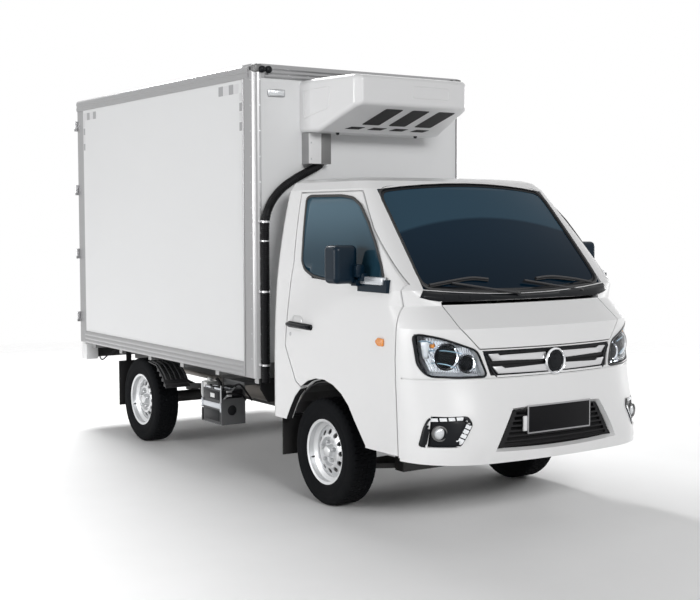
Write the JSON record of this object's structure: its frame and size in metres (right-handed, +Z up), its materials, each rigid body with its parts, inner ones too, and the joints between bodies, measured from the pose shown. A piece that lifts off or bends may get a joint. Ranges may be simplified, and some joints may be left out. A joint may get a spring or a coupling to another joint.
{
  "type": "refrigerated light truck",
  "caption": "Light cab-over truck with an insulated cold box, a nose-mounted cooling unit, opening cab and box doors, a front hood and steered wheels.",
  "frame": {"origin": "on the ground, half way along the truck, on its centre plane", "axes": "+X forward, +Y to the left, +Z up"},
  "size_m": [4.723, 1.916, 2.5739],
  "materials": {
    "tyre_rubber": "matt rubber",
    "wheel_silver": "silver wheel paint",
    "cab_paint": "gloss white paint",
    "tinted_glass": "tinted glass",
    "lamp_lens": "clear lens",
    "black_plastic": "grained black plastic",
    "flap_rubber": "matt rubber sheet",
    "chassis_black": "satin black chassis paint",
    "cast_metal": "rough cast metal",
    "exhaust_steel": "dull steel",
    "battery_case": "black battery case",
    "seat_cloth": "grey woven cloth",
    "panel_white": "white composite panel",
    "rail_aluminium": "ribbed anodised aluminium",
    "door_steel": "stainless steel",
    "lamp_red": "red lamp lens"
  },
  "bodies": {
    "chassis": {"chassis_frame": "chassis_black", "engine_block": "cast_metal", "front_suspension": "chassis_black", "rear_axle": "chassis_black", "propeller_shaft": "chassis_black", "fuel_tank": "chassis_black", "exhaust": "exhaust_steel", "battery_carrier": "chassis_black", "battery": "battery_case", "arch_liners": "black_plastic", "mud_flaps": "flap_rubber", "rear_fenders": "black_plastic", "cab_shell": "cab_paint", "cab_glass": "tinted_glass", "front_bumper": "cab_paint", "front_lamps": "lamp_lens", "grilles": "black_plastic", "seats": "seat_cloth", "dashboard": "black_plastic", "wipers": "black_plastic", "box_floor": "panel_white", "box_roof": "panel_white", "box_walls": "panel_white", "box_front_panel": "panel_white", "box_rails": "rail_aluminium", "rear_frame": "rail_aluminium", "rear_bumper": "chassis_black", "rear_lamps": "lamp_red", "cooling_unit": "panel_white", "line_cover": "panel_white", "cooling_hose": "black_plastic"},
    "front_knuckle_right": {"knuckle_right": "cast_metal"},
    "front_knuckle_left": {"knuckle_left": "cast_metal"},
    "front_wheel_right": {"rim_front_right": "wheel_silver", "tyre_front_right": "tyre_rubber"},
    "front_wheel_left": {"rim_front_left": "wheel_silver", "tyre_front_left": "tyre_rubber"},
    "rear_wheel_right": {"rim_rear_right": "wheel_silver", "tyre_rear_right": "tyre_rubber"},
    "rear_wheel_left": {"rim_rear_left": "wheel_silver", "tyre_rear_left": "tyre_rubber"},
    "cab_door_right": {"door_panel_right": "cab_paint", "door_glass_right": "tinted_glass", "mirror_right": "black_plastic"},
    "cab_door_left": {"door_panel_left": "cab_paint", "door_glass_left": "tinted_glass", "mirror_left": "black_plastic"},
    "front_hood": {"hood": "cab_paint"},
    "box_door_right": {"rear_door_right": "panel_white", "rear_door_gear_right": "door_steel"},
    "box_door_left": {"rear_door_left": "panel_white", "rear_door_gear_left": "door_steel"},
    "steering_wheel": {"steering_wheel": "black_plastic"}
  },
  "joints": [
    {"name": "steer_right", "type": "hinge", "parent": "chassis", "child": "front_knuckle_right", "pos_m": [1.2275, -0.61, 0.307], "axis": [0, 0, 1], "range_deg": [-35, 35]},
    {"name": "steer_left", "type": "hinge", "parent": "chassis", "child": "front_knuckle_left", "pos_m": [1.2275, 0.61, 0.307], "axis": [0, 0, 1], "range_deg": [-35, 35]},
    {"name": "roll_front_right", "type": "hinge", "parent": "front_knuckle_right", "child": "front_wheel_right", "pos_m": [1.2275, -0.68, 0.307], "axis": [0, 1, 0], "continuous": true},
    {"name": "roll_front_left", "type": "hinge", "parent": "front_knuckle_left", "child": "front_wheel_left", "pos_m": [1.2275, 0.68, 0.307], "axis": [0, 1, 0], "continuous": true},
    {"name": "roll_rear_right", "type": "hinge", "parent": "chassis", "child": "rear_wheel_right", "pos_m": [-1.2725, -0.68, 0.307], "axis": [0, 1, 0], "continuous": true},
    {"name": "roll_rear_left", "type": "hinge", "parent": "chassis", "child": "rear_wheel_left", "pos_m": [-1.2725, 0.68, 0.307], "axis": [0, 1, 0], "continuous": true},
    {"name": "door_swing_right", "type": "hinge", "parent": "chassis", "child": "cab_door_right", "pos_m": [1.9935, -0.8, 0.4], "axis": [-0.0324, 0.0112, 0.9994], "range_deg": [0, 65]},
    {"name": "door_swing_left", "type": "hinge", "parent": "chassis", "child": "cab_door_left", "pos_m": [1.9935, 0.8, 0.4], "axis": [0.0324, 0.0112, -0.9994], "range_deg": [0, 65]},
    {"name": "hood_lift", "type": "hinge", "parent": "chassis", "child": "front_hood", "pos_m": [2.0625, 0, 1.209], "axis": [0, -1, 0], "range_deg": [0, 60]},
    {"name": "box_door_swing_right", "type": "hinge", "parent": "chassis", "child": "box_door_right", "pos_m": [-2.3515, -0.815, 0.8], "axis": [0, 0, 1], "range_deg": [0, 255]},
    {"name": "box_door_swing_left", "type": "hinge", "parent": "chassis", "child": "box_door_left", "pos_m": [-2.3515, 0.815, 0.8], "axis": [0, 0, -1], "range_deg": [0, 255]},
    {"name": "steering_column", "type": "hinge", "parent": "chassis", "child": "steering_wheel", "pos_m": [1.5975, 0.39, 1.185], "axis": [-0.6157, 0, 0.788], "range_deg": [-540, 540]}
  ],
  "couplings": [
    {"joint": "steer_left", "follows": "steer_right", "ratio": 1}
  ]
}
